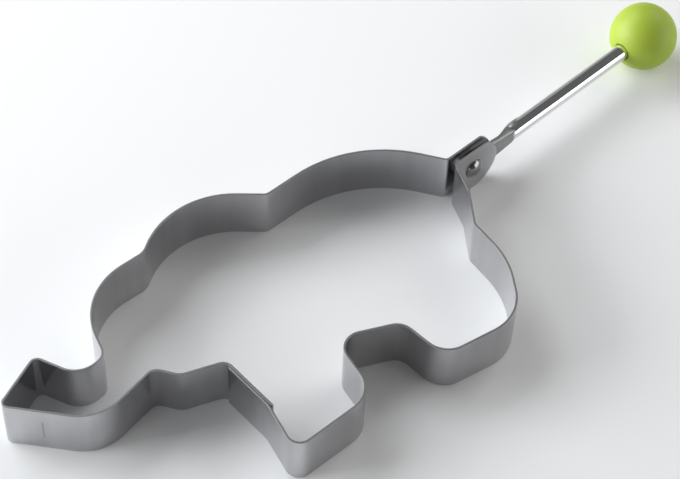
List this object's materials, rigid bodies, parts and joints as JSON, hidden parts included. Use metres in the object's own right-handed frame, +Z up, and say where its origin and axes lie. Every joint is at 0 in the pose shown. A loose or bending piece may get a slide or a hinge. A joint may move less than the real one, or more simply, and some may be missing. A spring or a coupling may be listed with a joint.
{
  "type": "pancake mould",
  "caption": "Pancake or egg ring bent from steel strip in the outline of an elephant, with a ball-knobbed rod handle hinged at the tail that folds up and over into the ring.",
  "frame": {"origin": "on the table, under the middle of the whole object's box", "axes": "+X along the handle, from the tail hinge to the knob; +Y towards the elephant's back; +Z up from the table"},
  "size_m": [0.2276, 0.0842, 0.0195],
  "materials": {
    "strip_steel": "satin stainless strip",
    "rivet_steel": "smooth dark steel",
    "rod_chrome": "mirror bright on the rod, dull on the flat",
    "green_plastic": "satin lime green"
  },
  "bodies": {
    "ring": {"back_strip": "strip_steel", "leg_strip": "strip_steel", "hinge_rivet": "rivet_steel"},
    "handle": {"handle_rod": "rod_chrome", "ball_knob": "green_plastic"}
  },
  "joints": [
    {"name": "handle_fold", "type": "hinge", "parent": "ring", "child": "handle", "pos_m": [0.03254, 0.00577, 0.0085], "axis": [0, -1, 0], "range_deg": [0, 177.9]}
  ]
}
